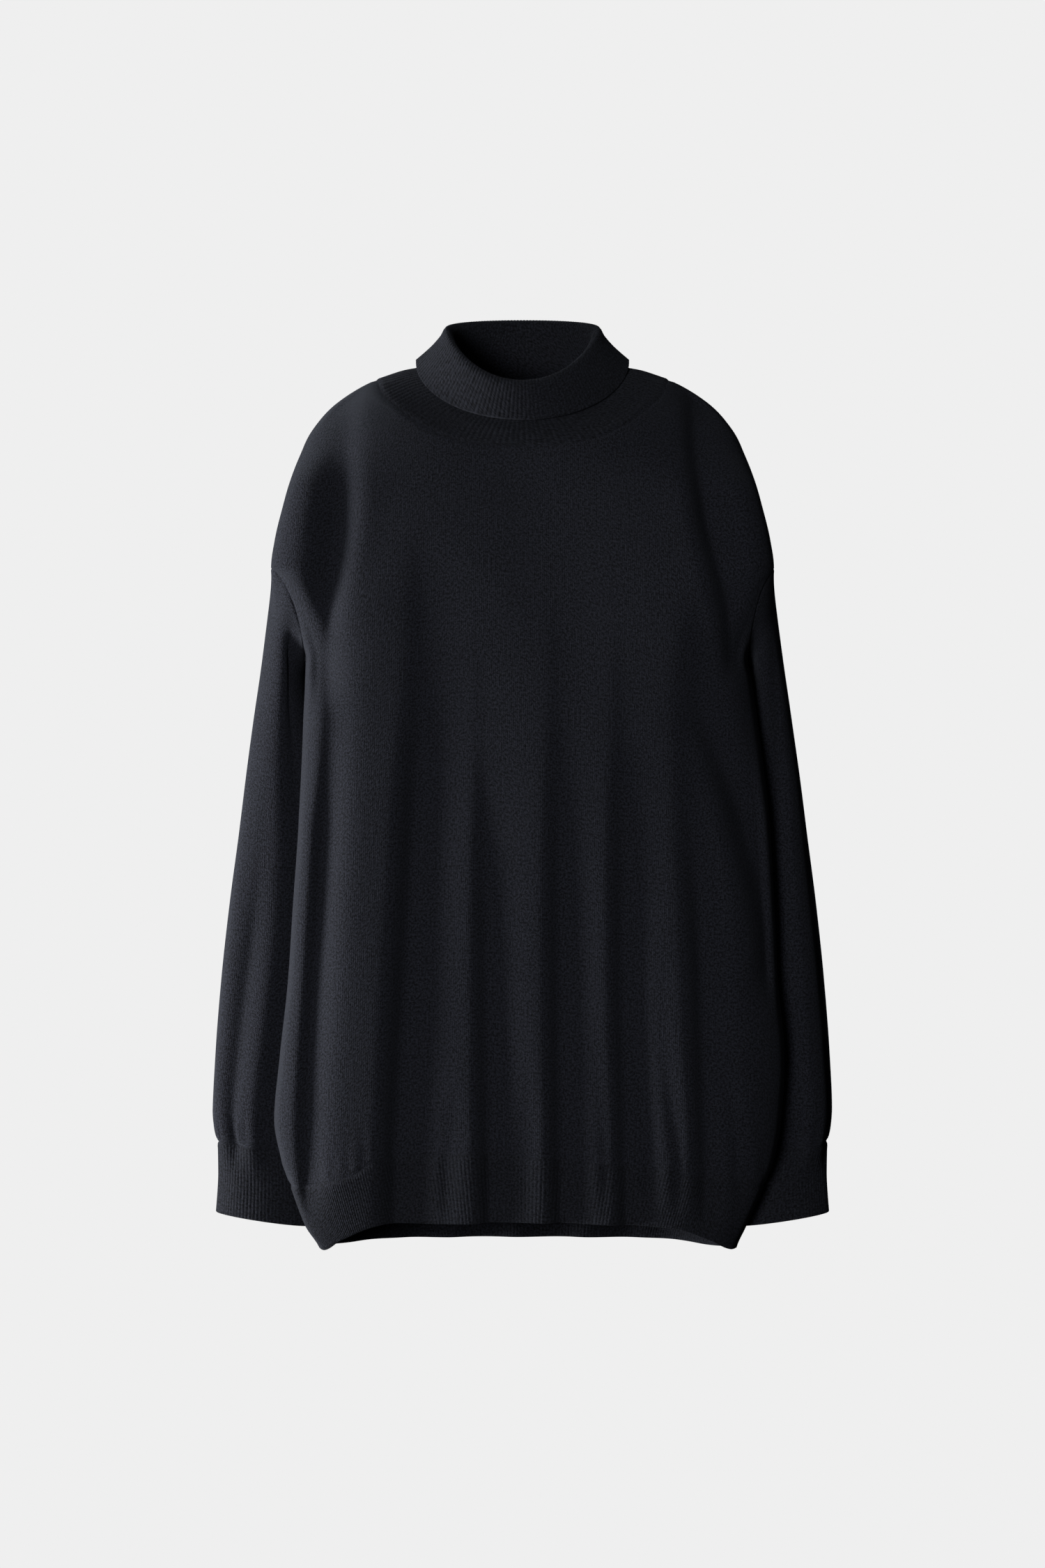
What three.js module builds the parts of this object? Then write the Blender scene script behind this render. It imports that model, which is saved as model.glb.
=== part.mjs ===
// Turtleneck sweater of fine dark knit, filled out with no wearer: two body panels, two sleeves, ribbed
// cuffs, a ribbed hem in two halves and a ribbed roll collar. Millimetres, +Z up, the front faces -Y,
// +X is the wearer's left. The origin is the middle of the neck at the height of the shoulders.
import * as THREE from 'three';

// Driving dimensions
const clothThickness = 2.0; // wall of the plain knit
const ribThickness = 2.4; // wall of the ribbed knit between its ribs
const ribRelief = 0.6; // how far a rib stands out of the wall
const seamGap = 0.3; // between two pieces at a seam
const collarGap = 1.35; // the same under the collar, where the wall turns up steeply
const twistGap = 13; // how much the gap widens where a seam twists
const neckPoint = { x: 126, z: -16 }; // where the shoulder seam meets the collar
const shoulderPoint = { x: 213, z: -179 }; // top of the dropped armhole
const armpitRight = { x: 184, z: -260 }; // wearer's right, at -X
const armpitLeft = { x: 191, z: -258 };
const hemRibSides = 757; // drop of the hem at the side seams, below the origin
const hemRibFront = 731; // drop of the hem at the middle of the front
const hemRibBack = 759; // drop of the hem at the middle of the back
const edgeRound = { width: 14, height: 7 }; // how the back turns in from the side seam
const tuckTurn = { start: 10, width: 40, power: 1.8 }; // how the back turns behind the sleeve
const tuckDrop = { from: 205, to: 290 }; // drop below the origin over which that turn comes in
const notchTurn = { width: 26, blend: 3 }; // how the cloth turns in where the outline is notched
const creaseEdge = 12; // width beside the side seam over which a crease dies out
const armpitLean = { out: 0.3, down: 0.95 }; // way that the cloth faces at an armpit
const outlineUp = 0.2; // lean of the way out from the middle, for picking a side of the outline

// How finely the cloth is divided
const sideSteps = 9; // along the side seam
const armholeSteps = 8; // along half an armhole
const shoulderSteps = 7; // along the shoulder seam
const neckSteps = 28; // along half the neckline
const riseStart = 0.45; // share of the rows below which a panel's top doesn't bend them
const leastInset = 1.8; // from one column to the next beside the side seam
const hemSpread = { side: 0.36, power: 1.6 }; // share of the hem under a shoulder, and how it widens
const hemColumnsPerStep = 4;
const cuffColumnsPerStep = 5;
const collarColumnsPerStep = 4;

// Rows of numbers as objects with named columns
function table(columns, rows) {
  return rows.map((row) => Object.fromEntries(columns.map((name, k) => [name, row[k]])));
}

// The body at each height: reach of its edge to the wearer's right and left, y of the side or shoulder
// seam, depth to the front and back at the middle, and the x where the back turns in behind the sleeve.
const bodySections = table(
  ['z', 'right', 'left', 'seamY', 'front', 'back', 'tuck'],
  [
    [-4, 100, 100, 0, 2, 2, 150],
    [-16, 126, 126, 0, 20, 20, 150],
    [-22, 138, 138, 0, 30, 44, 150],
    [-30, 151, 151, 0, 39, 61, 150],
    [-40, 164, 164, 0, 50, 71, 150],
    [-51, 174, 174, -1, 60, 78, 150],
    [-66, 184, 184, -4, 70, 84, 150],
    [-81, 190, 190, -9, 77, 88, 150],
    [-96, 195, 195, -13, 82, 91, 150],
    [-126, 203, 203, -18, 89, 94, 150],
    [-156, 210, 210, -21, 94, 97, 150],
    [-179, 213, 213, -22, 97, 98, 150],
    [-188, 210, 212, -22, 98, 98, 152],
    [-218, 196, 203, -24, 100, 98, 158],
    [-240, 188, 195, -33, 101, 98, 160],
    [-257, 184, 191, -41, 102, 98, 162],
    [-275, 184, 194, -47, 103, 97, 158],
    [-306, 185, 198, -53, 104, 96, 153],
    [-336, 186, 202, -55, 105, 94, 153],
    [-396, 189, 209, -56, 106, 92, 148],
    [-468, 194, 213, -56, 106, 90, 150],
    [-528, 198, 216, -54, 106, 88, 156],
    [-597, 205.5, 222, -53, 105, 87, 164],
    [-648, 210, 219, -51, 104, 87, 171],
    [-678, 205, 214, -48, 100, 84, 175],
    [-708, 195, 203, -44, 93, 78, 176],
    [-738, 184, 190, -40, 88, 71, 175],
    [-762, 171, 181, -37, 84, 66, 172],
  ],
);

// Half width of the body's section beside the armpits, where its outline is notched for the sleeves
const sectionWidths = table(
  ['z', 'right', 'left'],
  [
    [-179, 213, 213],
    [-218, 206, 209],
    [-257, 198, 204],
    [-306, 193, 202],
    [-360, 190, 205],
    [-396, 189, 209],
  ],
);

// Height of the hem seam and of the hem's edge against the share of the way from the middle to the side
const hemSeamRows = table(
  ['share', 'front', 'back'],
  [
    [-1, -703, -703],
    [-0.91, -701, -703],
    [-0.72, -692, -702],
    [-0.6, -679, -701],
    [-0.44, -674, -700],
    [-0.15, -672, -700],
    [0.03, -676, -699],
    [0.22, -679, -699],
    [0.36, -683, -700],
    [0.58, -687, -701],
    [0.7, -693, -702],
    [0.88, -693, -702],
    [1, -703, -703],
  ],
);
const hemEdgeRows = table(
  ['share', 'front', 'back'],
  [
    [-1, -hemRibSides, -hemRibSides],
    [-0.85, -746, -hemRibBack],
    [-0.62, -733, -hemRibBack],
    [-0.3, -hemRibFront - 1, -hemRibBack],
    [0, -hemRibFront, -hemRibBack],
    [0.4, -hemRibFront - 2, -hemRibBack],
    [0.66, -736, -hemRibBack],
    [0.85, -747, -hemRibBack],
    [1, -hemRibSides, -hemRibSides],
  ],
);

// Armhole seam seen from the front, from the armpit to the shoulder point
const armholeRows = {
  right: table(['x', 'z'], [[184, -260], [186, -241], [190.5, -219], [198, -199], [205, -187], [213, -179]]),
  left: table(['x', 'z'], [[191, -258], [192.5, -241], [195.5, -223], [200.5, -203], [206, -190], [213, -179]]),
};

// Neckline: height of the collar seam against the share of the half width
const necklineRows = table(
  ['share', 'front', 'back'],
  [
    [0, -78, -30],
    [0.33, -76, -30],
    [0.52, -70, -29],
    [0.66, -61, -27],
    [0.79, -50, -24],
    [0.88, -40, -21],
    [0.95, -30, -18],
    [1, -16, -16],
  ],
);

// Creases of the front and the back. Each runs through three points and sinks to its depth at the lower
// two, fading in above the first; a negative depth is a ridge.
const creaseColumns = ['x1', 'z1', 'x2', 'z2', 'x3', 'z3', 'depth1', 'depth2', 'depth3', 'halfWidth'];
const frontCreases = table(creaseColumns, [
  [-151, -66, -154, -150, -166, -240, 3, 10, 9, 12],
  [152, -66, 159, -140, 178, -240, 3, 11, 13, 14],
  [-74, -230, -82, -408, -98, -810, 3, 13, 12, 24],
  [-24, -300, -23, -480, -22, -810, 1, 6, 5, 18],
  [38, -280, 38, -480, 39, -810, 1, 6, 5, 18],
  [92, -300, 92, -480, 94, -760, 2, 7, 6, 20],
  [134, -380, 149, -520, 156, -700, 1, 6, 5, 16],
  [-160, -330, -169, -510, -181, -680, 1, 5, 6, 11],
]);
const backCreases = table(creaseColumns, [
  [-152, -70, -154, -150, -168, -240, 3, 9, 14, 13],
  [148, -70, 156, -150, 178, -240, 3, 9, 14, 14],
  [-62, -260, -58, -470, -66, -810, 2, 8, 9, 22],
  [-6, -330, -8, -520, -4, -810, 1, 6, 7, 20],
  [52, -280, 50, -470, 58, -810, 2, 8, 9, 21],
  [100, -360, 104, -520, 108, -810, 1, 6, 6, 16],
  [-104, -360, -106, -520, -112, -810, 1, 6, 6, 16],
]);
const creaseFade = { above: 90, below: 50 }; // how far past its first and last points a crease runs out

// Sleeve rings: outer and inner end of each ring seen from the front, its middle in y and half its depth
const ringColumns = ['outerX', 'outerZ', 'innerX', 'innerZ', 'y', 'halfDepth'];
const sleeveRings = {
  right: table(ringColumns, [
    [216, -204, 186, -270, -12, 46],
    [219.5, -232, 184.5, -289, -12, 43],
    [224, -266, 181, -313, -11, 40],
    [230, -306, 174, -339, -10, 38],
    [236, -350, 166, -372, -10, 36],
    [243, -406, 157, -419, -10, 35],
    [251, -466, 156, -475, -10, 33],
    [258, -530, 162, -537, -10, 32],
    [263, -595, 170, -601, -11, 31],
    [265, -642, 177, -649, -12, 30],
    [263.5, -657, 181, -666, -12, 27],
    [260.5, -669, 184, -680, -12, 25],
  ]),
  left: table(ringColumns, [
    [216, -204, 194, -268, -12, 46],
    [219.5, -232, 194, -288, -12, 43],
    [224, -266, 192, -312, -11, 40],
    [230, -306, 185, -339, -9, 38],
    [236, -350, 174, -372, -9, 36],
    [243, -406, 159, -419, -9, 35],
    [251, -466, 157, -475, -9, 33],
    [258, -530, 163, -537, -10, 32],
    [263, -595, 171, -601, -11, 31],
    [265, -642, 178, -649, -12, 30],
    [263.5, -657, 182, -666, -12, 27],
    [260.5, -669, 185, -680, -12, 25],
  ]),
};
const cuffRings = table(ringColumns, [
  [260, -697, 183, -708, -12, 25],
  [262, -729, 182, -741, -12, 26],
]);

// Collar rings above the yoke's seam: half width, reach to the front and back, their heights, and how
// the height runs from the side to the front
const collarRings = table(
  ['halfX', 'front', 'back', 'frontZ', 'sideZ', 'backZ', 'frontRise'],
  [
    [103, 71, 58, -66, -8, -14, 1.4],
    [85, 64, 54, -56, -4, 0, 1.4],
    [60.5, 56, 51, -28, 23, 37, 1.4],
    [65.5, 61, 56, -22, 28, 42, 1.4],
    [70, 67, 61, -27, 21, 35, 1.3],
    [91, 73, 66, -55, 1.5, -10, 1],
  ],
);
const backRise = 0.8; // how the collar's height runs from the side to the back
// How square the body's section is: at the front below the shoulders, and elsewhere
const fullness = {
  flat: { across: 5.5, deep: 3.2 },
  round: { across: 4.2, deep: 2.2 },
};
const flatDrop = { from: 100, to: 180 }; // drop below the origin over which the front becomes flat

// A smooth line through a table: value of one column at a place along another, with no overshoot
function smooth(rows, along, column) {
  const points = [...rows].sort((p, q) => p[along] - q[along]);
  const slopes = points.map((point, k) => {
    if (k === 0 || k === points.length - 1) return 0;
    const before = (point[column] - points[k - 1][column]) / (point[along] - points[k - 1][along]);
    const after = (points[k + 1][column] - point[column]) / (points[k + 1][along] - point[along]);
    return before * after <= 0 ? 0 : (2 * before * after) / (before + after);
  });
  return (place) => {
    const t = THREE.MathUtils.clamp(place, points[0][along], points.at(-1)[along]);
    const k = Math.max(0, Math.min(points.length - 2, points.findIndex((point) => point[along] > t) - 1));
    const last = points.at(-1)[along] <= t ? points.length - 2 : k;
    const [low, high] = [points[last], points[last + 1]];
    const span = high[along] - low[along];
    const s = (t - low[along]) / span;
    const lowPart = low[column] * (1 + 2 * s) * (1 - s) ** 2 + slopes[last] * span * s * (1 - s) ** 2;
    return lowPart + high[column] * s * s * (3 - 2 * s) - slopes[last + 1] * span * s * s * (1 - s);
  };
}

const bodyColumns = ['right', 'left', 'seamY', 'front', 'back', 'tuck'];
const body = Object.fromEntries(bodyColumns.map((column) => [column, smooth(bodySections, 'z', column)]));
const section = { right: smooth(sectionWidths, 'z', 'right'), left: smooth(sectionWidths, 'z', 'left') };
const reach = (x, z) => (x < 0 ? body.right(z) : body.left(z));

// Sum of the creases' depths at a place of a panel
function creaseDepth(creases, x, z) {
  let sum = 0;
  for (const crease of creases) {
    const line = [[crease.x1, crease.z1, crease.depth1], [crease.x2, crease.z2, crease.depth2]];
    const [from, to] = z > crease.z2 ? [line[0], line[1]] : [line[1], [crease.x3, crease.z3, crease.depth3]];
    const t = THREE.MathUtils.clamp((z - from[1]) / (to[1] - from[1]), 0, 1);
    const begin = THREE.MathUtils.smoothstep(crease.z1 + creaseFade.above - z, 0, creaseFade.above);
    const fade = begin * THREE.MathUtils.smoothstep(z - crease.z3 + creaseFade.below, 0, creaseFade.below);
    const centre = THREE.MathUtils.lerp(from[0], to[0], t);
    const depth = THREE.MathUtils.lerp(from[2], to[2], t) * fade;
    sum += depth * Math.exp(-(((x - centre) / crease.halfWidth) ** 2));
  }
  return sum * THREE.MathUtils.smoothstep(reach(x, z) - Math.abs(x), 0, creaseEdge);
}

function roundShare(form, share) {
  const { across, deep } = fullness[form];
  return (1 - Math.min(1, share) ** across) ** (1 / deep);
}

// Share of the depth from the seam to the middle at a place. Beside an armpit the section stays wider
// than the notched outline, and the cloth turns in over a short way.
function depthShare(half, x, z) {
  const edge = reach(x, z);
  const beside = z < sectionWidths[0].z && z > sectionWidths.at(-1).z;
  const wide = beside ? Math.max(edge, section[x < 0 ? 'right' : 'left'](z)) : edge;
  const notch = (wide - edge) / (wide - edge + notchTurn.blend);
  const inset = THREE.MathUtils.clamp((edge - Math.abs(x)) / notchTurn.width, 0, 1);
  const round = roundShare('round', Math.abs(x) / wide);
  const flatPart = half === 'front' ? THREE.MathUtils.smoothstep(-z, flatDrop.from, flatDrop.to) : 0;
  const share = THREE.MathUtils.lerp(round, roundShare('flat', Math.abs(x) / wide), flatPart);
  return share * THREE.MathUtils.lerp(1, Math.sqrt(1 - (1 - inset) ** 2), notch);
}

// Surface of the front and of the back: y at a place seen from the front
function frontSurface(x, z) {
  const depth = THREE.MathUtils.lerp(body.seamY(z), -body.front(z), depthShare('front', x, z));
  return depth + creaseDepth(frontCreases, x, z);
}

function backSurface(x, z) {
  const seam = body.seamY(z);
  const inset = Math.max(0, reach(x, z) - Math.abs(x));
  const full = THREE.MathUtils.lerp(seam, body.back(z), depthShare('back', x, z));
  const edge = seam + edgeRound.height * Math.sqrt(1 - (1 - Math.min(1, inset / edgeRound.width)) ** 2);
  const turn = Math.max(0, body.tuck(z) + tuckTurn.start - Math.abs(x)) / tuckTurn.width;
  const tucked = THREE.MathUtils.lerp(edge, body.back(z), 1 - Math.exp(-(turn ** tuckTurn.power)));
  const tuckShare = THREE.MathUtils.smoothstep(-z, tuckDrop.from, tuckDrop.to);
  return THREE.MathUtils.lerp(full, tucked, tuckShare) - creaseDepth(backCreases, x, z);
}

// A line through table rows as points at even steps of its length
function evenPoints(rows, steps) {
  const points = rows.map((row) => new THREE.Vector3(row.x, 0, row.z));
  return new THREE.CatmullRomCurve3(points, false, 'centripetal').getSpacedPoints(steps);
}

// The outline of a panel seen from the front, as four borders in x and z
function panelBorders(half) {
  const hemSeam = smooth(hemSeamRows, 'share', half);
  const neckHeight = smooth(necklineRows, 'share', half);
  const sides = {};
  for (const [side, sign, armpit] of [['right', -1, armpitRight], ['left', 1, armpitLeft]]) {
    const start = hemSeam(sign);
    const seam = [];
    for (let k = 0; k < sideSteps; k += 1) {
      const z = THREE.MathUtils.lerp(start, armpit.z, k / sideSteps);
      seam.push(new THREE.Vector3(sign * body[side](z), 0, z));
    }
    const armhole = evenPoints(armholeRows[side], armholeSteps);
    armhole.forEach((point) => { point.x *= sign; });
    const ridgeRows = bodySections.filter((row) => row.z < neckPoint.z && row.z > shoulderPoint.z);
    const ridge = [shoulderPoint, ...ridgeRows.map((row) => ({ x: row[side], z: row.z })).reverse(), neckPoint];
    const shoulder = evenPoints(ridge, shoulderSteps);
    shoulder.forEach((point) => { point.x *= sign; });
    sides[side] = { border: [...seam, ...armhole], shoulder };
  }
  const neck = [];
  for (let k = 1; k < neckSteps; k += 1) {
    const share = -Math.cos((Math.PI * k) / neckSteps);
    neck.push(new THREE.Vector3(share * neckPoint.x, 0, neckHeight(Math.abs(share))));
  }
  const top = [...sides.right.shoulder, ...neck, ...sides.left.shoulder.reverse()];
  const columns = top.length - 1;
  const bottom = top.map((_, k) => {
    const fromEdge = Math.min(k, columns - k);
    const edgeShare = 1 - hemSpread.side * (fromEdge / shoulderSteps) ** hemSpread.power;
    const fromSide = (fromEdge - shoulderSteps) / (columns / 2 - shoulderSteps);
    const middleShare = (1 - hemSpread.side) * (1 - fromSide);
    const share = Math.sign(k - columns / 2) * (fromEdge < shoulderSteps ? edgeShare : middleShare);
    const z = hemSeam(share);
    return new THREE.Vector3(share * reach(share, z), 0, z);
  });
  return { right: sides.right.border, left: sides.left.border, top, bottom };
}

// Grid of a panel between its four borders, laid on its surface
function panelGrid(half, surface) {
  const { right, left, top, bottom } = panelBorders(half);
  const rows = right.length - 1;
  const columns = top.length - 1;
  const width = bottom[columns].x - bottom[0].x;
  const grid = [];
  for (let i = 0; i <= rows; i += 1) {
    const rise = THREE.MathUtils.smoothstep(i / rows, riseStart, 1);
    grid.push(top.map((topPoint, j) => {
      const u = (bottom[j].x - bottom[0].x) / width;
      const blend = (axis) => {
        const upDown = THREE.MathUtils.lerp(bottom[j][axis], topPoint[axis], rise);
        const across = THREE.MathUtils.lerp(right[i][axis], left[i][axis], u);
        const low = THREE.MathUtils.lerp(bottom[0][axis], bottom[columns][axis], u);
        const high = THREE.MathUtils.lerp(top[0][axis], top[columns][axis], u);
        return upDown + across - THREE.MathUtils.lerp(low, high, rise);
      };
      const z = blend('z');
      const inset = i < rows ? leastInset * Math.min(j, columns - j) : 0;
      const wide = Math.max(reach(blend('x'), z) - inset, 0);
      const x = i > sideSteps ? blend('x') : THREE.MathUtils.clamp(blend('x'), -wide, wide);
      const onSeam = (j === 0 || j === columns) && i <= sideSteps;
      const onShoulder = i === rows && Math.min(j, columns - j) <= shoulderSteps;
      return new THREE.Vector3(x, onSeam || onShoulder ? body.seamY(z) : surface(x, z), z);
    }));
  }
  return grid;
}

// Normals of a grid, from the points beside each point; outward is to the right of rows seen upwards
function gridNormals(grid, wraps, sign) {
  const rows = grid.length;
  return grid.map((row, i) => row.map((_, j) => {
    const count = row.length;
    const beside = (step) => {
      const at = j + step;
      return wraps ? row[(at + count) % count] : row[THREE.MathUtils.clamp(at, 0, count - 1)];
    };
    const across = beside(1).clone().sub(beside(-1));
    const up = grid[Math.min(i + 1, rows - 1)][j].clone().sub(grid[Math.max(i - 1, 0)][j]);
    return across.cross(up).normalize().multiplyScalar(sign);
  }));
}

// Seam normals where the front meets the back: across the outline, in its plane
function setSeamNormals(grid, normals) {
  const rows = grid.length - 1;
  const columns = grid[0].length - 1;
  const outline = (before, after, out) => {
    const run = after.clone().sub(before);
    const normal = new THREE.Vector3(-run.z, 0, run.x).normalize();
    return normal.dot(out) < 0 ? normal.negate() : normal;
  };
  for (const [j, side] of [[0, -1], [columns, 1]]) {
    const out = new THREE.Vector3(side, 0, outlineUp);
    for (let i = 0; i < sideSteps; i += 1) {
      normals[i][j] = outline(grid[Math.max(0, i - 1)][j], grid[i + 1][j], out);
    }
    normals[sideSteps][j] = new THREE.Vector3(side * armpitLean.out, 0, -armpitLean.down).normalize();
    const inward = j === 0 ? 1 : -1;
    for (let k = 0; k <= shoulderSteps; k += 1) {
      const at = (step) => grid[rows][j + inward * THREE.MathUtils.clamp(k + step, 0, shoulderSteps)];
      normals[rows][j + inward * k] = outline(at(-1), at(1), out);
    }
  }
}

// Moves the border points of a grid into their own piece by half the seam gap, and by more where the
// seam twists, so that the two rims stay apart
function openSeams(grid, normals, wraps, edges, gap = seamGap) {
  const rows = grid.length - 1;
  const columns = grid[0].length - 1;
  const moved = grid.map((row) => row.map((point) => point.clone()));
  const shift = (i, j, inner, before, after) => {
    const normal = normals[i][j];
    const across = grid[after[0]][after[1]].clone().sub(grid[before[0]][before[1]]).cross(normal).normalize();
    const side = Math.sign(across.dot(inner.clone().sub(grid[i][j])));
    const turn = Math.min(...[before, after].map(([row, column]) => normal.dot(normals[row][column])));
    moved[i][j].addScaledVector(across, (side * gap * (1 + twistGap * (1 - turn))) / 2);
  };
  for (let j = 0; j <= columns; j += 1) {
    const before = wraps ? (j + columns) % (columns + 1) : Math.max(0, j - 1);
    const after = wraps ? (j + 1) % (columns + 1) : Math.min(columns, j + 1);
    if (edges.bottom) shift(0, j, grid[1][j], [0, before], [0, after]);
    if (edges.top) shift(rows, j, grid[rows - 1][j], [rows, before], [rows, after]);
  }
  for (let i = 0; i <= rows && edges.sides; i += 1) {
    const [before, after] = [Math.max(0, i - 1), Math.min(rows, i + 1)];
    shift(i, 0, grid[i][1], [before, 0], [after, 0]);
    shift(i, columns, grid[i][columns - 1], [before, columns], [after, columns]);
  }
  return moved;
}

// Both faces of a wall: points moved out and in along the normals. Only every so many columns are kept
// on the inner face, and ribs stand out on every second column of the outer face.
function wallFaces(grid, normals, thickness, ribs = 0, innerStep = 1) {
  const offset = (by) => grid.map((row, i) => row.map((point, j) => {
    const moved = point.clone();
    return moved.addScaledVector(normals[i][j], by(j));
  }));
  const outer = offset((j) => thickness / 2 + (j % 2 ? ribs : 0));
  const inner = offset(() => -thickness / 2).map((row) => row.filter((_, j) => j % innerStep === 0));
  return { outer, inner };
}

// A closed body from the two faces of a wall. A tube wraps round and has a rim at each end, a panel has
// one rim all round; the two sides of a rim may have different numbers of points.
function wallGeometry({ outer, inner }, wraps, outward) {
  const points = [];
  const index = [];
  const add = (grid) => grid.map((row) => row.map((point) => points.push(point) - 1));
  const face = (a, b, c) => (outward ? index.push(a, b, c) : index.push(a, c, b));
  const skin = (ids, flip) => {
    for (let i = 0; i + 1 < ids.length; i += 1) {
      const count = ids[i].length;
      for (let j = 0; j < (wraps ? count : count - 1); j += 1) {
        const k = (j + 1) % count;
        const [a, b, c, d] = [ids[i][j], ids[i][k], ids[i + 1][k], ids[i + 1][j]];
        if (flip) {
          face(a, c, b);
          face(a, d, c);
        } else {
          face(a, b, c);
          face(a, c, d);
        }
      }
    }
  };
  // Joins two lines of points that run side by side, taking the next point of the one that lags
  const zip = (first, second) => {
    let [p, q] = [0, 0];
    while (p < first.length - 1 || q < second.length - 1) {
      const nextFirst = (p + 1) / (first.length - 1);
      const nextSecond = (q + 1) / (second.length - 1);
      if (q === second.length - 1 || (p < first.length - 1 && nextFirst <= nextSecond)) {
        face(first[p], second[q], first[p + 1]);
        p += 1;
      } else {
        face(first[p], second[q], second[q + 1]);
        q += 1;
      }
    }
  };
  const outerIds = add(outer);
  const innerIds = add(inner);
  skin(outerIds, false);
  skin(innerIds, true);
  const close = (row) => (wraps ? [...row, row[0]] : [...row]);
  zip(close(outerIds[0]), close(innerIds[0]));
  zip(close(outerIds.at(-1)).reverse(), close(innerIds.at(-1)).reverse());
  if (!wraps) {
    zip(outerIds.map((row) => row.at(-1)), innerIds.map((row) => row.at(-1)));
    zip(outerIds.map((row) => row[0]).reverse(), innerIds.map((row) => row[0]).reverse());
  }
  const geometry = new THREE.BufferGeometry();
  geometry.setAttribute('position', new THREE.Float32BufferAttribute(points.flatMap((point) => point.toArray()), 3));
  geometry.setIndex(index);
  geometry.computeVertexNormals();
  return geometry;
}

// A line of points divided into finer straight steps
function divided(line, steps, wraps) {
  const fine = [];
  const last = wraps ? line.length : line.length - 1;
  for (let k = 0; k < last; k += 1) {
    for (let s = 0; s < steps; s += 1) fine.push(line[k].clone().lerp(line[(k + 1) % line.length], s / steps));
  }
  if (!wraps) fine.push(line.at(-1).clone());
  return fine;
}

const unit = (line) => line.map((normal) => normal.clone().normalize());

// The two body panels
const panels = {};
for (const [half, surface, sign] of [['front', frontSurface, 1], ['back', backSurface, -1]]) {
  const grid = panelGrid(half, surface);
  const normals = gridNormals(grid, false, sign);
  setSeamNormals(grid, normals);
  panels[half] = { grid, normals };
}

function panelGeometry(half) {
  const { grid, normals } = panels[half];
  const opened = openSeams(grid, normals, false, { bottom: true, top: true, sides: true });
  return wallGeometry(wallFaces(opened, normals, clothThickness), false, half === 'front');
}

// Hem rib of one half: the body's surface carried on below the hem seam
function hemGeometry(half, surface) {
  const { grid, normals } = panels[half];
  const seam = divided(grid[0], hemColumnsPerStep, false);
  const seamNormals = unit(divided(normals[0], hemColumnsPerStep, false));
  const edgeHeight = smooth(hemEdgeRows, 'share', half);
  const below = (depth) => seam.map((point, j) => {
    const share = point.x / reach(point.x, point.z);
    const z = THREE.MathUtils.lerp(point.z, edgeHeight(share), depth);
    const x = share * reach(share, z);
    const onSeam = j === 0 || j === seam.length - 1;
    return new THREE.Vector3(x, onSeam ? body.seamY(z) : surface(x, z), z);
  });
  const ribGrid = [below(1), below(0.5), seam];
  const ribNormals = gridNormals(ribGrid, false, half === 'front' ? 1 : -1);
  ribNormals[2] = seamNormals;
  for (const row of ribNormals) {
    row[0] = seamNormals[0].clone();
    row[row.length - 1] = seamNormals.at(-1).clone();
  }
  const opened = openSeams(ribGrid, ribNormals, false, { top: true, sides: true });
  const faces = wallFaces(opened, ribNormals, ribThickness, ribRelief, hemColumnsPerStep);
  return wallGeometry(faces, false, half === 'front');
}

// Armhole loop of one side: from the shoulder point down the front to the armpit and up the back
function armholeLoop(side) {
  const pick = (source) => {
    const column = (grid) => grid.map((row) => (side === 'right' ? row[0] : row.at(-1)));
    const [front, back] = [column(panels.front[source]), column(panels.back[source])];
    return [...front.slice(sideSteps).reverse(), ...back.slice(sideSteps + 1, -1)];
  };
  return { points: pick('grid'), normals: pick('normals') };
}

// One ring of a sleeve or cuff, from its outer end round the front to its inner end and back
function sleeveRing(ring, sign, count) {
  const points = [];
  for (let k = 0; k < count; k += 1) {
    const angle = (2 * Math.PI * k) / count;
    const across = (1 + Math.cos(angle)) / 2;
    const x = sign * THREE.MathUtils.lerp(ring.innerX, ring.outerX, across);
    const z = THREE.MathUtils.lerp(ring.innerZ, ring.outerZ, across);
    points.push(new THREE.Vector3(x, ring.y - ring.halfDepth * Math.sin(angle), z));
  }
  return points;
}

// Grid of a sleeve from its cuff seam up to the armhole. Along the armhole the body and the sleeve share
// the mean of their normals, apart from the armpit and the shoulder point.
function sleeveGrid(side) {
  const sign = side === 'right' ? -1 : 1;
  const loop = armholeLoop(side);
  const rings = sleeveRings[side].map((ring) => sleeveRing(ring, sign, loop.points.length));
  const grid = [...rings.reverse(), loop.points];
  const normals = gridNormals(grid, true, -sign);
  loop.normals.forEach((normal, k) => {
    if (k % armholeSteps !== 0) normal.add(normals.at(-1)[k]).normalize();
  });
  normals[grid.length - 1] = loop.normals;
  return { grid, normals };
}

const sleeves = { right: sleeveGrid('right'), left: sleeveGrid('left') };

function sleeveGeometry(side) {
  const { grid, normals } = sleeves[side];
  const opened = openSeams(grid, normals, true, { bottom: true, top: true });
  return wallGeometry(wallFaces(opened, normals, clothThickness), true, side === 'right');
}

function cuffGeometry(side) {
  const sign = side === 'right' ? -1 : 1;
  const { grid, normals } = sleeves[side];
  const seam = divided(grid[0], cuffColumnsPerStep, true);
  const rings = cuffRings.map((ring) => sleeveRing(ring, sign, seam.length));
  const ribGrid = [...rings.reverse(), seam];
  const ribNormals = gridNormals(ribGrid, true, -sign);
  ribNormals[2] = unit(divided(normals[0], cuffColumnsPerStep, true));
  const opened = openSeams(ribGrid, ribNormals, true, { top: true });
  const faces = wallFaces(opened, ribNormals, ribThickness, ribRelief, cuffColumnsPerStep);
  return wallGeometry(faces, true, side === 'right');
}

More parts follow.
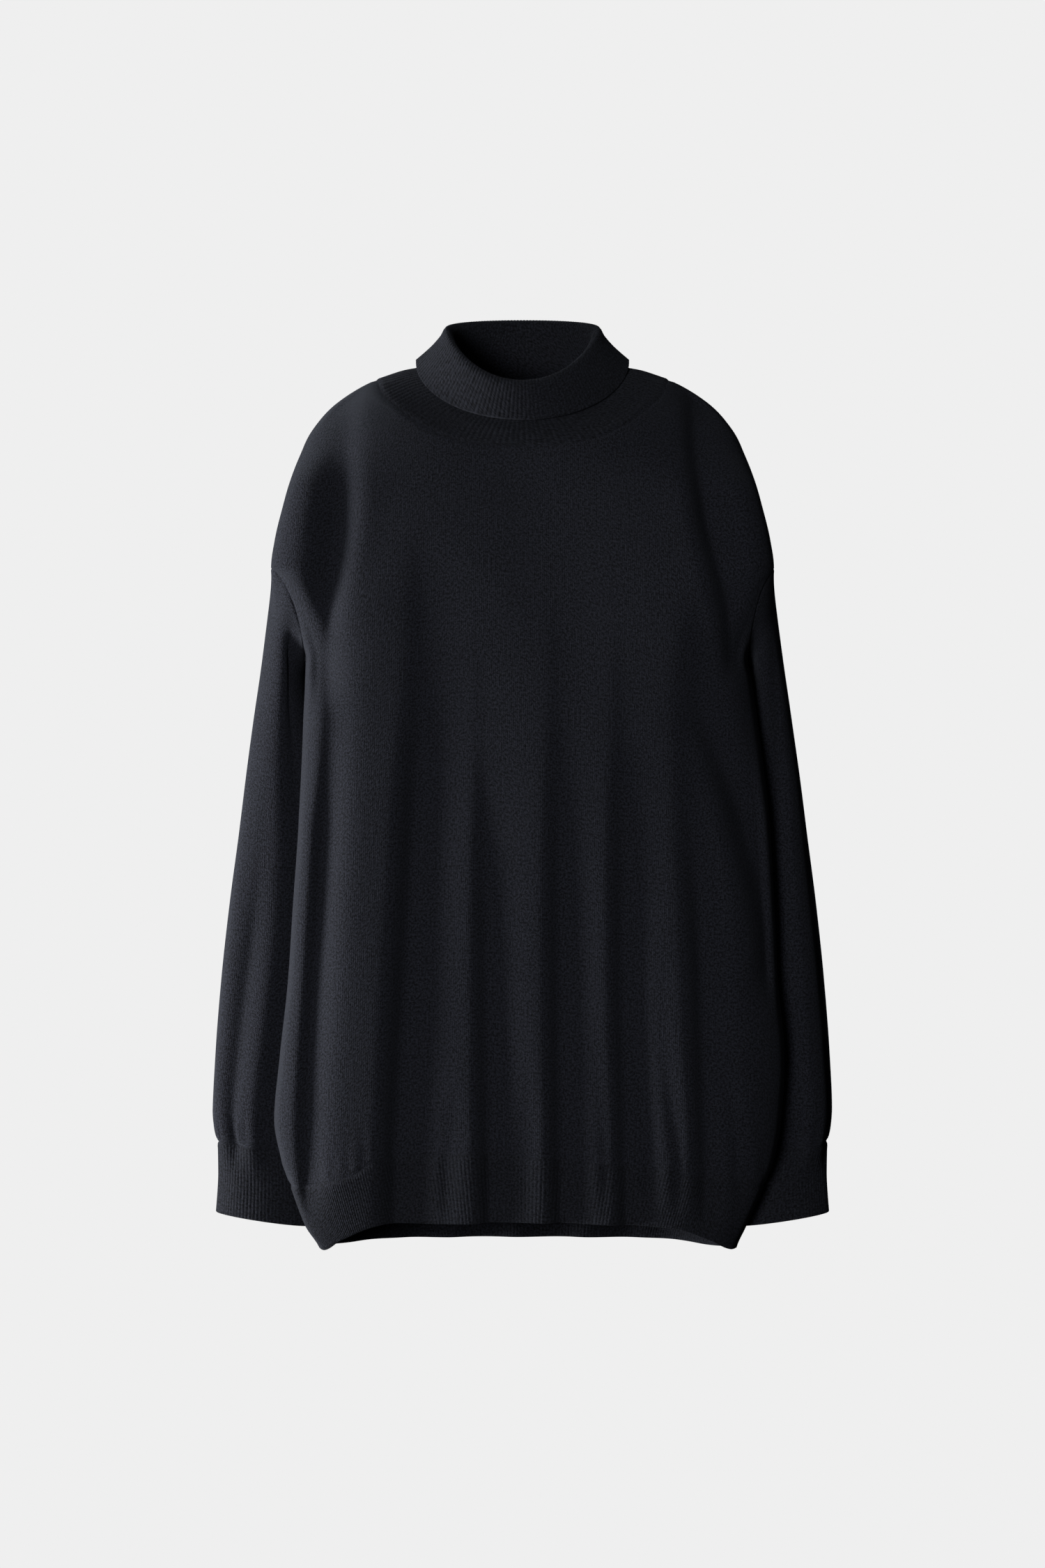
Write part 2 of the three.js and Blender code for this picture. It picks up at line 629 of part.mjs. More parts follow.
// Roll collar: the ribbed yoke from the neckline, the stand, the fold and the turnover
function collarGeometry() {
  const { front, back } = panels;
  const rows = front.grid.length - 1;
  const ends = [shoulderSteps, shoulderSteps + neckSteps];
  const around = (source) => {
    const [frontLine, backLine] = [front, back].map((panel) => panel[source][rows].slice(ends[0], ends[1] + 1));
    return [...frontLine, ...backLine.reverse().slice(1, -1)];
  };
  const seam = divided(around('grid'), collarColumnsPerStep, true);
  const seamNormals = unit(divided(around('normals'), collarColumnsPerStep, true));
  const rings = collarRings.map((ring) => seam.map((_, k) => {
    const angle = (2 * Math.PI * k) / seam.length;
    const deep = Math.sin(angle);
    const half = deep > 0 ? 'front' : 'back';
    const rise = Math.abs(deep) ** (deep > 0 ? ring.frontRise : backRise);
    const z = THREE.MathUtils.lerp(ring.sideZ, ring[`${half}Z`], rise);
    return new THREE.Vector3(-Math.cos(angle) * ring.halfX, -deep * ring[half], z);
  }));
  const grid = [seam, ...rings];
  const normals = gridNormals(grid, true, 1);
  normals[0] = seamNormals;
  const opened = openSeams(grid, normals, true, { bottom: true }, collarGap);
  return wallGeometry(wallFaces(opened, normals, ribThickness, ribRelief, collarColumnsPerStep), true, true);
}

const knit = { color: 0x1b1f24, roughness: 0.95, metalness: 0 };
const rib = { color: 0x181b20, roughness: 0.97, metalness: 0 };
const group = new THREE.Group();

function addPiece(name, geometry, finish) {
  const piece = new THREE.Mesh(geometry, new THREE.MeshStandardMaterial(finish));
  piece.name = name;
  group.add(piece);
}

addPiece('front_panel', panelGeometry('front'), knit);
addPiece('back_panel', panelGeometry('back'), knit);
for (const side of ['right', 'left']) {
  addPiece(`sleeve_${side}`, sleeveGeometry(side), knit);
  addPiece(`cuff_${side}`, cuffGeometry(side), rib);
}
addPiece('hem_rib_front', hemGeometry('front', frontSurface), rib);
addPiece('hem_rib_back', hemGeometry('back', backSurface), rib);
addPiece('roll_collar', collarGeometry(), rib);

export default group;
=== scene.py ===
import math
import bpy
import numpy as np
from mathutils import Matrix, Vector


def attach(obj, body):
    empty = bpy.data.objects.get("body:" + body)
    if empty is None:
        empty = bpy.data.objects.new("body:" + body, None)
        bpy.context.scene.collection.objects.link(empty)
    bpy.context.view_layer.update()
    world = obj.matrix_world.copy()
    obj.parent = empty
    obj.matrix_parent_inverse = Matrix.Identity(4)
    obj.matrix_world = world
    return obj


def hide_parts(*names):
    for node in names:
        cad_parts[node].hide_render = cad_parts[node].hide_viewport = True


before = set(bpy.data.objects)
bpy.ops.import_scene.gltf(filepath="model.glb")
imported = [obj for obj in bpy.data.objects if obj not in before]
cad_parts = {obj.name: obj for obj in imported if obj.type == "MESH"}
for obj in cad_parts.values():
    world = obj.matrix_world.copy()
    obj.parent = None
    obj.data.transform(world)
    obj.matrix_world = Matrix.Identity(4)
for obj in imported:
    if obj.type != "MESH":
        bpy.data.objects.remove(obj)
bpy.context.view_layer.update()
print("turtleneck sweater: frame loaded")

# Lengths are in millimetres until a mesh is made. The front faces -Y, the wearer's left is +X.
metresPerMm = 0.001


# Small helpers for lines and folds

def softStep(value, low, high):
    t = np.clip((value - low) / (high - low), 0, 1)
    return t * t * (3 - 2 * t)


def mixed(a, b, share):
    return a + (b - a) * share


def lineThrough(places, values):
    # smooth line through rows of values, with no overshoot between them
    places = np.asarray(places, float)
    values = np.asarray(values, float)
    order = np.argsort(places)
    places, values = places[order], values[order]
    extra = (1,) * (values.ndim - 1)
    spans = np.diff(places).reshape(-1, *extra)
    steps = np.diff(values, axis=0) / spans
    slopes = np.zeros_like(values)
    before, after = steps[:-1], steps[1:]
    same = before * after > 0
    slopes[1:-1] = np.where(same, 2 * before * after / np.where(same, before + after, 1), 0)

    def valueAt(place):
        place = np.clip(np.asarray(place, float), places[0], places[-1])
        k = np.clip(np.searchsorted(places, place, side="right") - 1, 0, len(places) - 2)
        span = (places[k + 1] - places[k]).reshape(place.shape + extra)
        s = (place - places[k]).reshape(place.shape + extra) / span
        low = values[k] * (1 + 2 * s) * (1 - s) ** 2 + slopes[k] * span * s * (1 - s) ** 2
        return low + values[k + 1] * s * s * (3 - 2 * s) - slopes[k + 1] * span * s * s * (1 - s)

    return valueAt


def evenPoints(rows, steps, surface=None, sign=1):
    # points at even steps along a smooth line through rows of x and z, laid on a surface if one is given
    rows = np.asarray(rows, float)
    run = np.concatenate([[0], np.cumsum(np.linalg.norm(np.diff(rows, axis=0), axis=1))])
    fine = lineThrough(run, rows)(np.linspace(0, run[-1], 6000))
    laid = fine if surface is None else np.column_stack([fine, surface(sign * fine[:, 0], fine[:, 1])])
    length = np.concatenate([[0], np.cumsum(np.linalg.norm(np.diff(laid, axis=0), axis=1))])
    at = np.linspace(0, length[-1], steps + 1)
    return np.stack([np.interp(at, length, fine[:, k]) for k in range(2)], axis=1)


def quarterRound(distance, width):
    # rises from 0 to 1 over the width as a quarter of a circle does
    return np.sqrt(1 - (1 - np.clip(distance / width, 0, 1)) ** 2)


# Puckers of uneven width: the length of each wave as a share of the pitch, and its height
gatherWaves = {
    "waves": [(1.0, 0.5), (1.63, 0.3), (0.41, 0.35)],
    "seedTurn": 2.4,
    "waveTurn": 1.7,
    "drift": 0.6,
    "driftLength": 37,
}


def unevenWaves(run, pitch, seed):
    # gathers of uneven width and height along a seam, between -1 and 1
    drift = gatherWaves["drift"] * np.sin(run / gatherWaves["driftLength"] + seed)
    total = np.zeros_like(run)
    for k, (stretch, share) in enumerate(gatherWaves["waves"]):
        phase = gatherWaves["seedTurn"] * seed + gatherWaves["waveTurn"] * k
        total = total + share * np.sin(2 * np.pi * run / (pitch * stretch) + phase + drift)
    return total


# Body: outline, depth and folds

bodyForm = {
    "clothThickness": 1.3,
    "sideRows": 104,          # along the side seam
    "armholeRows": 60,        # along half an armhole
    "shoulderRows": 42,
    "columns": 184,
    "neckPoint": (126, -16),
    "shoulderPoint": (213, -179),
    "armpit": {"right": (184, -260), "left": (191, -258)},
    "round": (4.2, 2.2),      # how square the section is
    "flat": (5.5, 3.2),       # at the front below the shoulders
    "flatDown": (100, 180),
    "cap": (8.0, 5.0),        # at the front over the tops of the arms
    "capDown": (70, 120),
    "capUp": (-300, -220),
    "slope": (5.0, 2.2),      # down the wearer's left of the front, which falls away more softly
    "slopeAcross": (40, 110),
    "slopeDown": (240, 330),
    "edgeWidth": 14,          # how the back turns in from the side seam
    "edgeHeight": 7,
    "tuckStart": 10,          # how the back turns behind the sleeve
    "tuckWidth": 40,
    "tuckPower": 1.8,
    "tuckDown": (205, 290),
    "notchTurn": 26,          # how the cloth turns in beside the armpit
    "notchBlend": 3,
    "sideTurn": 6,            # how the front turns back to the side seam, from the armpit down
    "sideTurnDown": (235, 260),
    "seamDip": 0.55,          # how deep a sewn seam sits in the cloth
    "seamWidth": 1.6,
    "seamRidge": 0.35,        # share of the dip that stands up beside the seam
    "ridgeAt": 3.4,
    "ridgeWidth": 1.5,
}

# Height, reach of the edge to the wearer's right and left, y of the side or shoulder seam, depth to the
# front and back at the middle, and the x where the back turns in behind the sleeve
bodyColumns = ["z", "right", "left", "seamY", "front", "back", "tuck"]
bodySections = [
    [-4, 100, 100, 0, 2, 2, 150],
    [-16, 126, 126, 0, 20, 20, 150],
    [-22, 138, 138, 0, 30, 44, 150],
    [-30, 151, 151, 0, 39, 61, 150],
    [-40, 164, 164, 0, 50, 71, 150],
    [-51, 174, 174, -1, 60, 78, 150],
    [-66, 184, 184, -4, 70, 84, 150],
    [-81, 190, 190, -9, 77, 88, 150],
    [-96, 195, 195, -13, 82, 91, 150],
    [-126, 203, 203, -18, 89, 94, 150],
    [-156, 210, 210, -21, 94, 97, 150],
    [-179, 213, 213, -22, 97, 98, 150],
    [-188, 210, 212, -22, 98, 98, 152],
    [-218, 196, 203, -24, 100, 98, 158],
    [-240, 188, 195, -33, 101, 98, 160],
    [-257, 184, 191, -41, 102, 98, 162],
    [-275, 184, 194, -47, 103, 97, 158],
    [-306, 185, 198, -53, 104, 96, 153],
    [-336, 186, 202, -55, 105, 94, 153],
    [-396, 189, 209, -56, 106, 92, 148],
    [-468, 194, 213, -56, 106, 90, 150],
    [-528, 198, 216, -54, 106, 88, 156],
    [-597, 205.5, 222, -53, 105, 87, 164],
    [-648, 210, 219, -51, 104, 87, 171],
    [-678, 205, 214, -48, 100, 84, 175],
    [-708, 195, 203, -44, 93, 78, 176],
    [-738, 184, 190, -40, 88, 71, 175],
    [-762, 171, 181, -37, 84, 66, 172],
]
bodyAt = {
    name: lineThrough([row[0] for row in bodySections], [row[k] for row in bodySections])
    for k, name in enumerate(bodyColumns) if k
}

# Share of the way from the middle to the side, height of the hem seam at the front and the back
hemSeamRows = [
    [-1, -703, -703], [-0.91, -701, -703], [-0.72, -692, -702], [-0.6, -679, -701], [-0.44, -674, -700],
    [-0.15, -672, -700], [0.03, -676, -699], [0.22, -679, -699], [0.36, -683, -700], [0.58, -687, -701],
    [0.7, -693, -702], [0.88, -693, -702], [1, -703, -703],
]
hemEdgeRows = [
    [-1, -757, -757], [-0.85, -746, -759], [-0.62, -733, -759], [-0.3, -732, -759], [0, -731, -759],
    [0.4, -733, -759], [0.66, -736, -759], [0.85, -747, -759], [1, -757, -757],
]
armholeRows = {
    "right": [[184, -260], [186, -241], [190.5, -219], [198, -199], [205, -187], [213, -179]],
    "left": [[191, -258], [192.5, -241], [195.5, -223], [200.5, -203], [206, -190], [213, -179]],
}
necklineRows = [
    [0, -78, -30], [0.33, -76, -30], [0.52, -70, -29], [0.66, -61, -27],
    [0.79, -50, -24], [0.88, -40, -21], [0.95, -30, -18], [1, -16, -16],
]

# Folds of the front and the back: x and z of three points, the depth at each, and how wide the fold is
# to the wearer's right and left of its line
frontFolds = [
    [-151, -66, -154, -150, -168, -262, 6, 18, 13, 21, 12],
    [147, -66, 155, -135, 176, -240, 13, 18, 14, 9, 22],
    [150, -280, 184, -390, 210, -510, 5, 16, 14, 13, 22],
    [-82, -230, -91, -408, -108, -810, 3, 15, 18, 11, 36],
    [-31, -300, -30, -480, -27, -810, 1, 9, 14, 8, 27],
    [32, -270, 31, -480, 33, -810, 1, 10, 14, 8, 27],
    [85, -290, 84, -480, 88, -760, 1, 10, 13, 8, 27],
    [140, -340, 150, -520, 154, -700, 2, 12, 12, 9, 18],
    [-160, -280, -168, -430, -181, -690, 6, 12, 10, 8, 15],
    [96, -500, 98, -610, 106, -690, 1, 3, 4, 6, 10],
    [118, -560, 124, -630, 130, -690, 1, 3, 4, 6, 10],
    [166, -560, 176, -640, 182, -700, 1, 4, 4, 7, 9],
    [62, -560, 66, -630, 70, -690, 0, 2, 3, 6, 9],
    [-56, -600, -60, -650, -64, -700, 0, 1.6, 2.4, 6, 10],
    [6, -590, 4, -640, 2, -700, 0, 1.5, 2, 7, 9],
    [-120, -96, -128, -160, -150, -235, 0, 1, 2, 12, 18],
]
backFolds = [
    [-152, -70, -154, -150, -168, -240, 3, 9, 14, 13, 13],
    [148, -70, 156, -150, 178, -240, 3, 9, 14, 14, 14],
    [-62, -260, -58, -470, -66, -810, 2, 8, 9, 28, 16],
    [-6, -330, -8, -520, -4, -810, 1, 6, 7, 16, 24],
    [52, -280, 50, -470, 58, -810, 2, 8, 9, 16, 27],
    [100, -360, 104, -520, 108, -810, 1, 6, 6, 14, 18],
    [-104, -360, -106, -520, -112, -810, 1, 6, 6, 18, 13],
    [-132, -470, -138, -560, -142, -700, 1, 3, 4, 9, 13],
    [78, -580, 80, -640, 84, -710, 0, 2, 3, 8, 10],
    [-30, -600, -32, -650, -34, -710, 0, 2, 2.6, 9, 8],
    [-90, -120, -104, -180, -140, -240, 0, 2, 3, 12, 20],
    [92, -118, 108, -180, 144, -240, 0, 2, 3, 20, 12],
]
foldFade = {"above": 90, "below": 50, "edge": 12}

# Half width of the body's section past the armpits, where the outline itself is notched for the sleeves
sectionWidths = [
    [-179, 213, 213], [-218, 206, 209], [-257, 198, 204],
    [-306, 193, 202], [-360, 190, 205], [-396, 189, 209],
]
sectionAt = {
    side: lineThrough([row[0] for row in sectionWidths], [row[k + 1] for row in sectionWidths])
    for k, side in enumerate(("right", "left"))
}


def reachAt(x, z):
    return np.where(x < 0, bodyAt["right"](z), bodyAt["left"](z))


def sectionReach(x, z):
    # half width of the section, and from 0 to 1 how far the cloth has come from the seam at its edge
    reach = reachAt(x, z)
    notched = (z < sectionWidths[0][0]) & (z > sectionWidths[-1][0])
    section = np.where(x < 0, sectionAt["right"](z), sectionAt["left"](z))
    wide = np.maximum(np.where(notched, section, reach), reach)
    notch = (wide - reach) / (wide - reach + bodyForm["notchBlend"])
    inset = reach - np.abs(x)
    below = softStep(-z, *bodyForm["sideTurnDown"])
    sideTurn = mixed(1, quarterRound(inset, bodyForm["sideTurn"]), below)
    return wide, mixed(1, quarterRound(inset, bodyForm["notchTurn"]), notch) * sideTurn


def foldDepth(folds, x, z):
    total = np.zeros(np.broadcast(x, z).shape)
    for x1, z1, x2, z2, x3, z3, depth1, depth2, depth3, toRight, toLeft in folds:
        centre = lineThrough([z1, z2, z3], [x1, x2, x3])(z)
        depth = lineThrough([z1, z2, z3], [depth1, depth2, depth3])(z)
        fade = softStep(z1 + foldFade["above"] - z, 0, foldFade["above"])
        fade = fade * softStep(z - z3 + foldFade["below"], 0, foldFade["below"])
        width = np.where(x < centre, toRight, toLeft)
        total = total + depth * fade * np.exp(-(((x - centre) / width) ** 2))
    return total * softStep(reachAt(x, z) - np.abs(x), 0, foldFade["edge"])


def roundShare(share, form="round"):
    across, deep = bodyForm[form]
    return (1 - np.clip(share, 0, 1) ** across) ** (1 / deep)


def frontShare(x, z, wide):
    across = np.abs(x) / wide
    share = mixed(roundShare(across), roundShare(across, "flat"), softStep(-z, *bodyForm["flatDown"]))
    cap = softStep(-z, *bodyForm["capDown"]) * softStep(z, *bodyForm["capUp"])
    share = mixed(share, roundShare(across, "cap"), cap)
    slope = softStep(x, *bodyForm["slopeAcross"]) * softStep(-z, *bodyForm["slopeDown"])
    return mixed(share, roundShare(across, "slope"), slope)


# Slow unevenness of cloth that hangs free: lengths and heights of a broad swell and of a finer one
swellForm = {
    "across": 41,
    "down": 63,
    "drift": 0.7,
    "driftLength": 90,
    "seedTurn": 1.3,
    "height": 0.7,
    "fineAcross": 19,
    "fineDown": 47,
    "fineHeight": 0.35,
}


def slowUnevenness(x, z, seed):
    drift = swellForm["drift"] * np.sin(z / swellForm["driftLength"] + seed)
    broad = np.sin(x / swellForm["across"] + drift + seed)
    broad = broad * np.sin(z / swellForm["down"] + swellForm["seedTurn"] * seed)
    fine = np.sin(x / swellForm["fineAcross"] + z / swellForm["fineDown"] + seed)
    return swellForm["height"] * broad + swellForm["fineHeight"] * fine


def frontSurface(x, z):
    seam = bodyAt["seamY"](z)
    wide, turnIn = sectionReach(x, z)
    share = frontShare(x, z, wide) * turnIn
    surface = mixed(seam, -bodyAt["front"](z), share) + foldDepth(frontFolds, x, z)
    return surface - slowUnevenness(x, z, 1) * share


def backSurface(x, z):
    seam = bodyAt["seamY"](z)
    reach = reachAt(x, z)
    inset = np.maximum(0, reach - np.abs(x))
    wide, turnIn = sectionReach(x, z)
    share = roundShare(np.abs(x) / wide) * turnIn
    full = mixed(seam, bodyAt["back"](z), share)
    edge = seam + bodyForm["edgeHeight"] * quarterRound(inset, bodyForm["edgeWidth"])
    turn = np.maximum(0, bodyAt["tuck"](z) + bodyForm["tuckStart"] - np.abs(x)) / bodyForm["tuckWidth"]
    tucked = mixed(edge, bodyAt["back"](z), 1 - np.exp(-(turn ** bodyForm["tuckPower"])))
    surface = mixed(full, tucked, softStep(-z, *bodyForm["tuckDown"]))
    return surface - foldDepth(backFolds, x, z) + slowUnevenness(x, z, 4) * share


# Surface of each half, its column in the tables of the hem and the neckline, and the way that it faces
bodyHalves = {"front": (frontSurface, 1, 1), "back": (backSurface, 2, -1)}


# Grids of points. Rows run up the cloth and columns run from the wearer's right to the left.

def turnOf(share):
    return np.sin(np.pi / 2 * share)


def panelGrid(half):
    surface, column, _ = bodyHalves[half]
    hemSeam = lineThrough([row[0] for row in hemSeamRows], [row[column] for row in hemSeamRows])
    neckHeight = lineThrough([row[0] for row in necklineRows], [row[column] for row in necklineRows])
    borders = {}
    for side, sign in (("right", -1), ("left", 1)):
        seamZ = np.linspace(hemSeam(sign), bodyForm["armpit"][side][1], bodyForm["sideRows"] + 1)
        seam = np.stack([bodyAt[side](seamZ), seamZ], axis=1)
        armhole = evenPoints(armholeRows[side], bodyForm["armholeRows"], surface, sign)
        top, low = bodyForm["neckPoint"][1], bodyForm["shoulderPoint"][1]
        reachColumn = bodyColumns.index(side)
        ridge = [[row[reachColumn], row[0]] for row in bodySections if low < row[0] < top]
        ridge = [bodyForm["shoulderPoint"], *ridge[::-1], bodyForm["neckPoint"]]
        shoulder = evenPoints(ridge, bodyForm["shoulderRows"])
        line = np.concatenate([seam[:-1], armhole[:-1], shoulder])
        share = np.clip(line[:, 0] / bodyAt[side](line[:, 1]), 0, 1)
        share[: bodyForm["sideRows"] + 1] = 1
        share[bodyForm["sideRows"] + bodyForm["armholeRows"]:] = 1
        borders[side] = (sign * np.arcsin(share) * 2 / np.pi, line[:, 1])
    neckShare = np.sin(np.pi / 2 * np.linspace(-1, 1, 2001))
    neckX = neckShare * bodyForm["neckPoint"][0]
    neckZ = neckHeight(np.abs(neckShare))
    neckTurn = np.arcsin(np.clip(neckX / reachAt(neckX, neckZ), -1, 1)) * 2 / np.pi
    even = np.linspace(-1, 1, bodyForm["columns"] + 1)
    topZ = np.interp(even, neckTurn, neckZ)
    bottomZ = hemSeam(turnOf(even))
    rows = len(borders["right"][0])
    rise = np.linspace(0, 1, rows)[:, None]
    u = (even[None, :] + 1) / 2
    rightTurn, rightZ = [line[:, None] for line in borders["right"]]
    leftTurn, leftZ = [line[:, None] for line in borders["left"]]
    turn = even[None, :] + (1 - u) ** 3 * (rightTurn + 1) + u ** 3 * (leftTurn - 1)
    z = mixed(bottomZ[None, :], topZ[None, :], rise)
    z = z + (1 - u) ** 3 * (rightZ - mixed(bottomZ[0], topZ[0], rise))
    z = z + u ** 3 * (leftZ - mixed(bottomZ[-1], topZ[-1], rise))
    share = turnOf(turn)
    x = share * reachAt(share, z)
    return np.stack([x, surface(x, z), z], axis=-1)


def gridNormals(grid, wraps, sign):
    if wraps:
        across = np.roll(grid, -1, axis=1) - np.roll(grid, 1, axis=1)
    else:
        across = np.empty_like(grid)
        across[:, 1:-1] = grid[:, 2:] - grid[:, :-2]
        across[:, 0] = grid[:, 1] - grid[:, 0]
        across[:, -1] = grid[:, -1] - grid[:, -2]
    up = np.empty_like(grid)
    up[1:-1] = grid[2:] - grid[:-2]
    up[0] = grid[1] - grid[0]
    up[-1] = grid[-1] - grid[-2]
    normal = np.cross(across, up) * sign
    return normal / np.maximum(np.linalg.norm(normal, axis=-1, keepdims=True), 1e-9)


def runAlong(grid, axis):
    steps = np.linalg.norm(np.diff(grid, axis=axis), axis=-1)
    shape = list(steps.shape)
    shape[axis] = 1
    return np.concatenate([np.zeros(shape), np.cumsum(steps, axis=axis)], axis=axis)


def seamDip(distance):
    beside = (distance - bodyForm["ridgeAt"]) / bodyForm["ridgeWidth"]
    ridge = bodyForm["seamRidge"] * np.exp(-(beside ** 2))
    return bodyForm["seamDip"] * (ridge - np.exp(-((distance / bodyForm["seamWidth"]) ** 2)))


def addWall(
    name, middle, normal, wraps, thickness, material, relief=0.0, innerRelief=0.0, edges=(0.3, 0.3),
):
    # closed shell of cloth: an outer skin, a rounded rim at each end and an inner skin
    rows, columns = middle.shape[:2]
    half = thickness / 2
    out = half + np.broadcast_to(relief, (rows, columns))
    inward = half + np.broadcast_to(innerRelief, (rows, columns))
    lines = [middle[i] + normal[i] * out[i][:, None] for i in range(rows)]
    inner = [middle[i] - normal[i] * inward[i][:, None] for i in range(rows)]

    def rim(at, beside, bulge, flipped):
        away = middle[at] - middle[beside]
        away = away / np.maximum(np.linalg.norm(away, axis=-1, keepdims=True), 1e-9)
        made = []
        for angle in (math.pi / 3, 2 * math.pi / 3):
            side = math.cos(angle) * (-1 if flipped else 1)
            reach = out[at] if side > 0 else inward[at]
            step = normal[at] * (reach * side)[:, None] + away * bulge * math.sin(angle)
            made.append(middle[at] + step)
        return made

    across = runAlong(np.concatenate([middle, middle[:, :1]], axis=1) if wraps else middle, 1)
    across = across - across[:, across.shape[1] // 2][:, None]
    along = runAlong(middle, 0)
    along = np.concatenate([along, along[:, :1]], axis=1) if wraps else along
    uvRows = [*range(rows), rows - 1, rows - 1, *range(rows - 1, -1, -1), 0, 0]
    loop = [*lines, *rim(-1, -2, edges[1], False), *inner[::-1], *rim(0, 1, edges[0], True)]
    points = np.stack(loop)
    count = len(loop)
    ids = np.arange(count * columns).reshape(count, columns)
    ids = np.concatenate([ids, ids[:, :1]], axis=1) if wraps else ids
    ids = np.concatenate([ids, ids[:1]], axis=0)
    faces = np.stack([ids[:-1, :-1], ids[:-1, 1:], ids[1:, 1:], ids[1:, :-1]], axis=-1).reshape(-1, 4)
    uvGrid = np.stack([across[uvRows], along[uvRows]], axis=-1)
    uvGrid = np.concatenate([uvGrid, uvGrid[:1]], axis=0)
    uvs = np.stack([uvGrid[:-1, :-1], uvGrid[:-1, 1:], uvGrid[1:, 1:], uvGrid[1:, :-1]], axis=-2)
    uvs = uvs.reshape(-1, 4, 2)
    if not wraps:
        for column in (0, columns - 1):
            ring = ids[:-1, column]
            outside, inside = ring[:rows], ring[2 * rows + 1:rows + 1:-1]
            side = np.stack([outside[:-1], outside[1:], inside[1:], inside[:-1]], axis=-1)
            ends = np.stack([ring[rows - 1:rows + 3], np.roll(ring, 3)[:4]])
            if column:
                side, ends = side[:, ::-1], ends[:, ::-1]
            faces = np.concatenate([faces, side, ends])
            sideUv = np.zeros((len(side) + len(ends), 4, 2))
            sideUv[..., 0] = across[0, column]
            uvs = np.concatenate([uvs, sideUv])
    flat = points.reshape(-1, 3) * metresPerMm
    corner = flat[faces]
    volume = np.einsum("ij,ij->i", corner[:, 0], np.cross(corner[:, 1], corner[:, 2])).sum()
    volume += np.einsum("ij,ij->i", corner[:, 0], np.cross(corner[:, 2], corner[:, 3])).sum()
    if volume < 0:
        faces, uvs = faces[:, ::-1], uvs[:, ::-1]
    mesh = bpy.data.meshes.new(name)
    mesh.vertices.add(len(flat))
    mesh.vertices.foreach_set("co", flat.ravel())
    mesh.loops.add(faces.size)
    mesh.loops.foreach_set("vertex_index", np.ascontiguousarray(faces).ravel())
    mesh.polygons.add(len(faces))
    mesh.polygons.foreach_set("loop_start", np.arange(0, faces.size, 4))
    mesh.update(calc_edges=True)
    mesh.uv_layers.new(name="knitInMm").data.foreach_set("uv", np.ascontiguousarray(uvs).ravel())
    mesh.validate()
    mesh.shade_smooth()
    mesh.materials.append(material)
    piece = bpy.data.objects.new(name, mesh)
    bpy.context.scene.collection.objects.link(piece)
    widest, longest = np.ptp(across, axis=1).max(), along.max()
    print(f"  {name}: {len(faces) * 2} triangles, at most {widest:.0f} x {longest:.0f} mm")
    return piece


def placePiece(piece, node):
    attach(piece, "root")
    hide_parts(node)


# Materials

def linearFromHex(code):
    parts = [int(code[k:k + 2], 16) / 255 for k in (1, 3, 5)]
    return (*[p / 12.92 if p <= 0.04045 else ((p + 0.055) / 1.055) ** 2.4 for p in parts], 1.0)


def addNode(tree, kind, inputs=None, **settings):
    node = tree.nodes.new(kind)
    for name, value in settings.items():
        setattr(node, name, value)
    for socket, value in (inputs or {}).items():
        if isinstance(value, bpy.types.NodeSocket):
            tree.links.new(value, node.inputs[socket])
        else:
            node.inputs[socket].default_value = value
    return node


# The yarn of all pieces, dyed wool: matt, with a soft pale bloom of fibre ends where the cloth turns
# away and flecks where single fibres catch the light
yarnLook = {
    "roughness": 0.92,
    "gloss": 0.18,
    "sheenRoughness": 0.45,
    "sheenTint": "#aeb6c4",
    "fleckPerMm": 0.52,      # real fibre ends lie about 0.5 mm apart, drawn four times as coarse to show
    "fleckBump": 3.2,
    "fleckShade": 4.9,
    "bloomPerMm": 0.035,     # clouds of about 30 mm, where the dye took a little more or less
    "bloomShade": 0.3,
    # painted shade: how much darker the colour is drawn in the grooves between the stitches
    "stitchPaintedShade": 0.25,
    "shadeStart": -2.2,
    "stitchRise": 0.3,       # height of the stitches along a wale, the rest being the wale itself
    "bumpStrength": 0.7,
}

# Fine plain jersey: dark, with faint upright wales
jerseyLook = {
    "dark": "#101116",
    "light": "#2c2e37",
    "waleMm": 1.7,           # a real fine wale is about 1.4 mm, drawn coarser so that it shows
    "courseMm": 1.3,
    "stitchShare": 0.6,
    "bumpMm": 0.5,
    "sheen": 0.16,
}

# One by one rib: the ribs are in the mesh, and the stitches in them in the bump
ribLook = {
    "dark": "#0f1014",
    "light": "#292b33",
    "waleMm": 1.35,
    "courseMm": 1.3,
    "stitchShare": 0.4,
    "bumpMm": 0.3,
    "sheen": 0.14,
}


